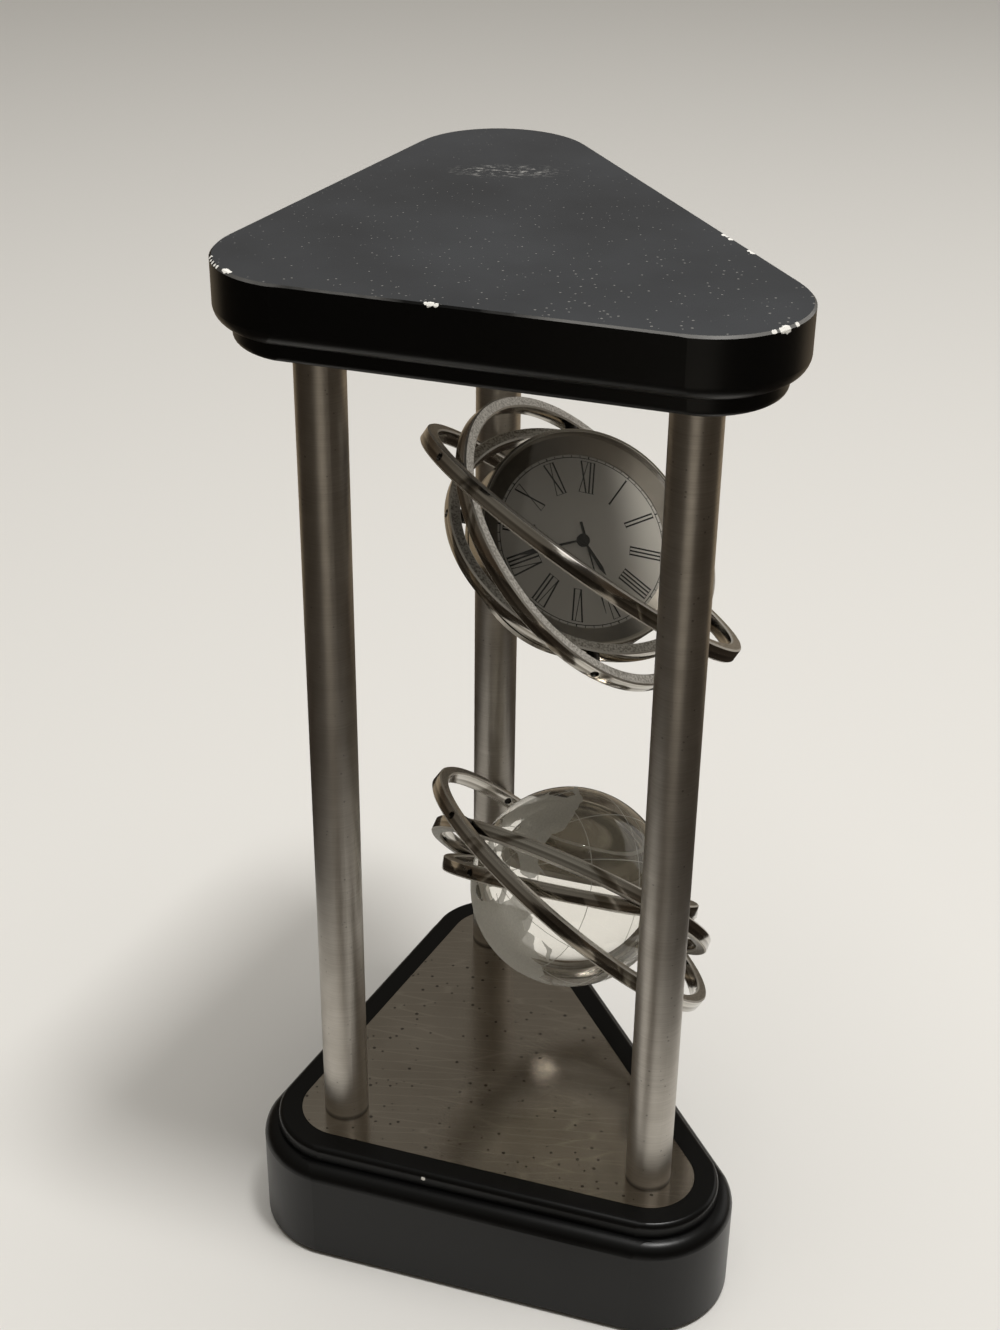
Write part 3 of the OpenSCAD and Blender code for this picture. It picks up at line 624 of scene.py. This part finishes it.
def bar(start_at, end_at, width):
    """A flat bar of ink between two points on the dial, in millimetres."""
    start_at, end_at = Vector(start_at), Vector(end_at)
    run = (end_at - start_at).normalized()
    half = Vector((-run.y, run.x)) * width / 2
    first = len(ink_points)
    for height in (dial_top + ink_gap, dial_top + ink_gap + ink_t):
        for corner in (start_at - half, end_at - half, end_at + half, start_at + half):
            ink_points.append(clock_frame @ (Vector((corner.x, corner.y, height)) * MM))
    ink_faces.extend([tuple(first + i for i in face) for face in box_faces])


def clock_way(angle):
    """The way out from the hub at an angle from twelve, clockwise."""
    return Vector((math.sin(angle), math.cos(angle)))


print("dial printed at", dial_top, "mm over the pivots")

# %% [markdown]
# ### Numerals
# A numeral is set letter by letter across its hour's line. A letter is one or two strokes, each given by
# the places of its head and foot. Thin serifs close the numeral at both ends, and on numerals that begin
# with a V the foot's serif starts further in, where the V's point is.

# %% Numerals
foot_r, head_r = 11.7, 19.3
thick, thin, serif = 0.4, 0.2, 0.12
serif_over, v_inset = 0.1, 0.6
half_width = {"I": 0.2, "V": 0.85, "X": 0.85}
letter_gap = 0.5
hours = ["XII", "I", "II", "III", "IIII", "V", "VI", "VII", "VIII", "IX", "X", "XI"]
for hour, numeral in enumerate(hours):
    angle = math.radians(360 / len(hours) * hour)
    out = clock_way(angle)
    across = Vector((math.cos(angle), -math.sin(angle)))
    width = sum(2 * half_width[letter] for letter in numeral) + letter_gap * (len(numeral) - 1)
    at = -width / 2
    for letter in numeral:
        half = half_width[letter]
        middle = at + half
        strokes = {"I": [(0, 0, thick)],
                   "V": [(-half, 0, thick), (half, 0, thin)],
                   "X": [(-half, half, thick), (half, -half, thin)]}[letter]
        for head, foot, weight in strokes:
            bar(across * (middle + head) + out * head_r, across * (middle + foot) + out * foot_r, weight)
        at += 2 * half + letter_gap
    for r in (foot_r, head_r):
        inset = v_inset if numeral[0] == "V" and r == foot_r else 0
        left = -width / 2 - serif_over + inset
        right = width / 2 + serif_over
        bar(across * left + out * r, across * right + out * r, serif)
print(len(hours), "numerals in", len(ink_faces) // len(box_faces), "bars")

# %% [markdown]
# ### Minute track
# A circle of short bars with a tick outside it at each minute. Its lines are drawn a little wider than
# printed ones, so that they show.

# %% Minute track
minutes = 60
track_r, track_steps, track_w = 20.0, 180, 0.18
tick_long, hour_tick_w, minute_tick_w = 0.6, 0.3, 0.16
for step in range(track_steps):
    first, last = (math.radians(360 / track_steps * k) for k in (step, step + 1))
    bar(clock_way(first) * track_r, clock_way(last) * track_r, track_w)
for minute in range(minutes):
    out = clock_way(math.radians(360 / minutes * minute))
    bar(out * track_r, out * (track_r + tick_long), hour_tick_w if minute % 5 == 0 else minute_tick_w)
dial_print = piece("dial_print", ink_points, ink_faces, dial_ink, "clock")

# %% [markdown]
# ## The map on the globe
# The ball carries a sand-blasted world map with a net of meridians and parallels. Coastlines are given as
# longitude and latitude, coarse as a schoolbook sketch.

# %% Land outlines
lands = {
    "north_america": [(-167, 65), (-157, 71), (-128, 70), (-95, 71), (-85, 69), (-94, 59), (-82, 53),
                      (-77, 60), (-65, 60), (-56, 52), (-66, 45), (-70, 42), (-76, 35), (-81, 31), (-80, 25),
                      (-84, 30), (-90, 29), (-97, 26), (-97, 20), (-91, 18), (-87, 21), (-88, 15), (-83, 10),
                      (-78, 8), (-83, 8), (-92, 14), (-105, 20), (-112, 29), (-117, 33), (-124, 40),
                      (-124, 48), (-134, 57), (-150, 60), (-163, 55), (-158, 59), (-165, 62)],
    "greenland": [(-73, 78), (-60, 82), (-33, 83), (-18, 78), (-22, 70), (-40, 65), (-44, 60), (-52, 65),
                  (-55, 70)],
    "south_america": [(-78, 8), (-72, 12), (-60, 9), (-50, 1), (-35, -6), (-39, -16), (-48, -26),
                      (-57, -36), (-65, -43), (-69, -52), (-74, -50), (-73, -38), (-70, -20), (-76, -14),
                      (-81, -5), (-79, 2)],
    "africa": [(-6, 35), (10, 37), (20, 32), (32, 31), (36, 22), (43, 12), (51, 12), (41, -2), (39, -12),
               (35, -22), (31, -30), (20, -35), (15, -27), (12, -15), (9, 1), (5, 5), (-8, 5), (-16, 12),
               (-17, 21), (-10, 30)],
    "eurasia": [(-9, 37), (-9, 43), (-2, 44), (-4, 48), (4, 52), (8, 57), (5, 61), (15, 68), (28, 71),
                (41, 67), (55, 69), (70, 73), (90, 75), (105, 78), (125, 73), (150, 72), (170, 70), (179, 68),
                (178, 63), (163, 60), (160, 52), (156, 57), (142, 59), (136, 54), (140, 48), (130, 42),
                (127, 35), (121, 39), (122, 30), (116, 23), (108, 21), (109, 12), (105, 9), (101, 13),
                (104, 2), (98, 9), (97, 17), (91, 22), (82, 16), (80, 8), (77, 9), (73, 18), (68, 24),
                (58, 25), (50, 30), (52, 24), (59, 22), (52, 16), (44, 13), (39, 21), (35, 28), (36, 36),
                (28, 37), (23, 37), (19, 42), (13, 45), (18, 40), (16, 38), (10, 44), (3, 43), (0, 39),
                (-5, 36)],
    "australia": [(114, -22), (122, -18), (130, -12), (136, -12), (137, -16), (142, -11), (146, -19),
                  (153, -26), (150, -37), (140, -38), (135, -34), (124, -33), (115, -34)],
    "antarctica": [(lon, -70 + 4 * math.sin(math.radians(3 * lon))) for lon in range(-180, 180, 15)],
    "madagascar": [(44, -24), (47, -25), (50, -15), (45, -17)],
    "britain": [(-5, 50), (1, 51), (0, 53), (-2, 57), (-5, 58), (-4, 54)],
    "japan": [(130, 31), (136, 34), (141, 36), (142, 44), (138, 38), (131, 34)],
    "borneo": [(109, 1), (114, 4), (118, 6), (118, 1), (115, -4), (110, -2)],
    "new_guinea": [(131, -1), (138, -2), (147, -6), (150, -10), (143, -9), (138, -8)],
    "new_zealand": [(167, -46), (171, -44), (175, -41), (178, -38), (173, -35), (174, -39), (172, -41)],
}
print(len(lands), "lands,", sum(map(len, lands.values())), "coast points")

# %% [markdown]
# ### Coasts on the ball
# A place is a unit vector in the globe's own frame. The poles lie on the pivots, so the map turns as a
# globe does. Straight runs between the given points would look cut with scissors, so points are added about
# two degrees apart, and smooth noise, which is the same in each run, moves them a little.

# %% Coasts
map_turn = 6
coast_step = 2
ragged_by, ragged_waves = 0.02, 9
globe_frame = frame_at("globe_turn", axis_of("globe_turn"),
                       axis_of("globe_inner_turn").cross(axis_of("globe_turn")).normalized())


def on_ball(lon, lat):
    """Unit vector of a place. The pivot is the X axis, and north is at its lower end."""
    turn, lat = math.radians(map_turn - lon), math.radians(lat)
    return Vector((-math.sin(lat), math.cos(lat) * math.cos(turn), math.cos(lat) * math.sin(turn)))


def coast(outline):
    """The outline as unit vectors, a little ragged between the given points."""
    rim = []
    for (lon, lat), (next_lon, next_lat) in zip(outline, outline[1:] + outline[:1]):
        here, there = on_ball(lon, lat), on_ball(next_lon, next_lat)
        steps = max(1, round(math.degrees(here.angle(there)) / coast_step))
        for k in range(steps):
            point = here.lerp(there, k / steps).normalized()
            if k:
                point = (point + noise.noise_vector(point * ragged_waves) * ragged_by).normalized()
            rim.append(point)
    return rim


coasts = {name: coast(outline) for name, outline in lands.items()}
print(sum(map(len, coasts.values())), "points along the coasts")

# %% [markdown]
# ### Lands filled and wrapped
# A coast can't be filled with one face, because that would cut through the ball. So each land is laid flat
# round its own middle, true in distance and direction from there, filled with triangles over a fine grid,
# and wrapped back on the ball, 0.03 mm over the glass.

# %% Lands
ball_r = 25.0
etch_r = ball_r + 0.03
pitch = math.radians(2.5)
TINY, WELD = 1e-9, 1e-6
land_points, land_faces = [], []
for rim in coasts.values():
    middle = sum(rim, Vector()).normalized()
    east = middle.orthogonal().normalized()
    north = middle.cross(east)
    flat = []
    for point in rim:
        away = middle.angle(point)
        lean = point - middle * point.dot(middle)
        lean = lean.normalized() * away if lean.length > TINY else Vector()
        flat.append(Vector((lean.dot(east), lean.dot(north))))
    edges = [(k, (k + 1) % len(flat)) for k in range(len(flat))]
    reach = max(p.length for p in flat)
    count = int(reach / pitch) + 1
    steps = range(-count, count + 1)
    grid = [Vector((i * pitch, j * pitch)) for i in steps for j in steps]
    grid = [g for g in grid if g.length < reach]
    filled = geometry.delaunay_2d_cdt(flat + grid, edges, [list(range(len(flat)))], 1, WELD)
    first = len(land_points)
    for p in filled[0]:
        away = p.length
        lean = (east * p.x + north * p.y) / away if away > TINY else east
        point = middle * math.cos(away) + lean * math.sin(away)
        land_points.append(globe_frame @ (point * etch_r * MM))
    land_faces.extend([tuple(first + i for i in face) for face in filled[2]])
piece("etched_land", land_points, land_faces, frost, "globe")

# %% [markdown]
# ### The net of meridians and parallels
# The net is a set of thin frosted bands, 0.22 mm wide, thirty degrees apart. Each is a strip of faces along
# its line, a hair over the lands, so that the two don't fight where they cross. The meridians stop short of
# the pivots.

# %% Net
net_w, net_apart, net_step = 0.22, 30, 2
meridian_end, last_parallel = 80, 60
net_r = etch_r + 0.005
net_half = net_w / 2 / ball_r
net_points, net_faces = [], []


def band(centre_line, sideways):
    """A band along a line of unit vectors; sideways gives the direction across it at each point."""
    first = len(net_points)
    for point, side in zip(centre_line, sideways):
        for half in (-net_half, net_half):
            net_points.append(globe_frame @ ((point + side * half).normalized() * net_r * MM))
    for k in range(len(centre_line) - 1):
        a = first + 2 * k
        net_faces.append((a, a + 1, a + 3, a + 2))


for lon in range(0, 360, net_apart):
    line = [on_ball(lon, lat) for lat in range(-meridian_end, meridian_end + 1, net_step)]
    across = on_ball(lon + 90, 0)
    band(line, [across] * len(line))
pole = Vector((1, 0, 0))
for lat in range(-last_parallel, last_parallel + 1, net_apart):
    line = [on_ball(lon, lat) for lon in range(0, 361, net_step)]
    band(line, [(pole - point * point.dot(pole)).normalized() for point in line])
piece("etched_net", net_points, net_faces, frost, "globe")

# %% [markdown]
# ## A small studio
# The clock stands on a wide pale floor. A round backdrop, which only the camera sees, closes the view from
# low down: it shines a little by itself, so no lamp has to reach it.

# %% Floor and backdrop
floor_half = 4
wall_r, wall_h, wall_steps = 3.9, 3, 48


def sheet(name, points, faces, colour, rough, **sockets):
    """A matt sheet of the studio, which is not part of the clock."""
    mesh = bpy.data.meshes.new(name)
    mesh.from_pydata(points, [], faces)
    made = bpy.data.objects.new(name, mesh)
    bpy.context.scene.collection.objects.link(made)
    paint = start(f"{name}_paint", Base_Color=linear(colour), Roughness=rough,
                  Specular_IOR_Level=0.0, **sockets)[0]
    mesh.materials.append(paint)
    return made


def show_only(thing, **rays):
    """Hides a thing from all kinds of rays but the given ones."""
    for kind in ("camera", "diffuse", "glossy", "transmission", "shadow", "volume_scatter"):
        setattr(thing, f"visible_{kind}", rays.get(kind, False))


floor_points = [(x * floor_half, y * floor_half, 0) for x, y in ((-1, -1), (1, -1), (1, 1), (-1, 1))]
sheet("floor", floor_points, [(0, 1, 2, 3)], "#E9E7E3", 0.6)
turns = [math.radians(360 / wall_steps * k) for k in range(wall_steps)]
wall_points = [(wall_r * math.cos(a), wall_r * math.sin(a), z) for z in (0, wall_h) for a in turns]
wall_faces = [(k, (k + 1) % wall_steps, wall_steps + (k + 1) % wall_steps, wall_steps + k)
              for k in range(wall_steps)]
backdrop = sheet("backdrop", wall_points, wall_faces, "#8E8980", 0.9, Emission_Color=linear("#B5AFA5"),
                 Emission_Strength=0.55)
show_only(backdrop, camera=True)
print("floor of", 2 * floor_half, "m, backdrop of", len(wall_faces), "faces")

# %% [markdown]
# ### Cards for the mirror images
# Upright faces seen from above mirror the floor in front of them, and an all pale floor would turn black
# sides grey. So dark cards lie round the clock that only mirror images see: they keep the black sides black
# and give the posts their dark middles. Towards the camera a lighter card lets the posts brighten again at
# the top, and an upright dark one stands a metre away where a viewer would, so that the rings mirror it.

# %% Cards
card_z, card_steps = 0.5 * MM, 24
near_r, mid_r, far_r = 0.15, 0.33, 3.5
viewer_way = math.radians(-30)
viewer_half, viewer_low, viewer_high = 0.35, 0.02, 0.6


def mirror_card(name, inner, outer, first, last, colour):
    """A sector of a flat ring round the clock, from one azimuth to another, that only mirror images see."""
    turns = [math.radians(first + (last - first) * k / card_steps) for k in range(card_steps + 1)]
    points = [(r * math.cos(a), r * math.sin(a), card_z) for r in (inner, outer) for a in turns]
    faces = [(k, k + 1, card_steps + 2 + k, card_steps + 1 + k) for k in range(card_steps)]
    card = sheet(name, points, faces, colour, 0.9)
    show_only(card, glossy=True)


mirror_card("middle_card", 0.08, near_r, -33, -13, "#4E473F")
mirror_card("side_card", 0.105, near_r, -48, -33, "#8F877B")
mirror_card("near_card", near_r, mid_r, 0, 360, "#302A24")
mirror_card("front_card", mid_r, far_r, -42, -8, "#C4BDB2")
mirror_card("right_card", mid_r, far_r, -8, 90, "#403A33")
mirror_card("back_card", mid_r, far_r, 90, 215, "#A69884")
mirror_card("left_card", mid_r, far_r, 215, 318, "#403A33")
out = Vector((math.cos(viewer_way), math.sin(viewer_way)))
across = Vector((-math.sin(viewer_way), math.cos(viewer_way)))
viewer_points = [(*(out + across * side), z) for z in (viewer_low, viewer_high)
                 for side in (-viewer_half, viewer_half)]
viewer = sheet("viewer_card", viewer_points, [(0, 1, 3, 2)], "#332E28", 0.9)
show_only(viewer, glossy=True)
print("eight cards laid")

# %% [markdown]
# ### Lamps
# A small ceiling lamp gives the soft shadow, a large dim bounce above fills it, and a window stands at +Y.
# The fill stands for what the viewer's side of the room throws on the dial: it lights the clock alone, by
# light linking, because the globe is bright enough. The other three are kept out of the ball's refraction,
# and the bounce out of mirror images too, where their square outlines would show.

# %% Lamps
lamp_white = "#FFFEFC"


def soft_box(name, at, aim, size, power, height=None):
    """A rectangular lamp at a place, turned to a point, with its sides in metres and its power in watts."""
    light = bpy.data.objects.new(name, bpy.data.lights.new(name, "AREA"))
    light.data.shape = "RECTANGLE"
    light.data.size = size
    light.data.size_y = height or size
    light.data.energy = power
    light.data.color = linear(lamp_white)[:3]
    light.location = at
    light.rotation_mode = "QUATERNION"
    light.rotation_quaternion = (Vector(aim) - Vector(at)).to_track_quat("-Z", "Y")
    bpy.context.scene.collection.objects.link(light)
    return light


ceiling = soft_box("ceiling", (0.3, 0.19, 1.6), (0, 0, 0.1), 0.23, 12.5)
bounce = soft_box("bounce", (0.0, 0.0, 2.0), (0, 0, 0), 1.7, 18)
window = soft_box("window", (-0.1, 1.4, 0.55), (0, 0, 0.15), 1.1, 2.0, height=0.8)
fill = soft_box("fill", (1.4, -0.5, 1.15), (0, 0, 0.15), 0.8, 3.2)
for lamp in (ceiling, bounce, window):
    lamp.visible_transmission = False
bounce.visible_glossy = False
lit = bpy.data.collections.new("lit_by_the_fill")
for name in nodes:
    if name.startswith(("clock_", "hour", "minute", "second")):
        lit.objects.link(nodes[name])
lit.objects.link(dial_print)
fill.light_linking.receiver_collection = lit

# %% [markdown]
# ### The room
# Where no card or lamp stands, mirror images show the room: brown and dim low down, grey and lighter
# towards the ceiling. Colours go to the picture as they are, without a film curve.

# %% Room
room = bpy.data.worlds.new("room")
room.use_nodes = True
sky = room.node_tree
way = add(sky, "SeparateXYZ", {0: add(sky, "TexCoord").outputs["Generated"]}).outputs["Z"]
rise = add(sky, "MapRange", {"Value": way, "From Min": 0.1, "From Max": 0.8}).outputs[0]
walls = add(sky, "Mix", {"Factor": rise, "A": linear("#473D32"), "B": linear("#7A7770")}, data_type="RGBA")
sky.links.new(walls.outputs["Result"], sky.nodes["Background"].inputs["Color"])
bpy.context.scene.world = room
bpy.context.scene.view_settings.view_transform = "Standard"
print("room with", len(sky.nodes), "nodes")
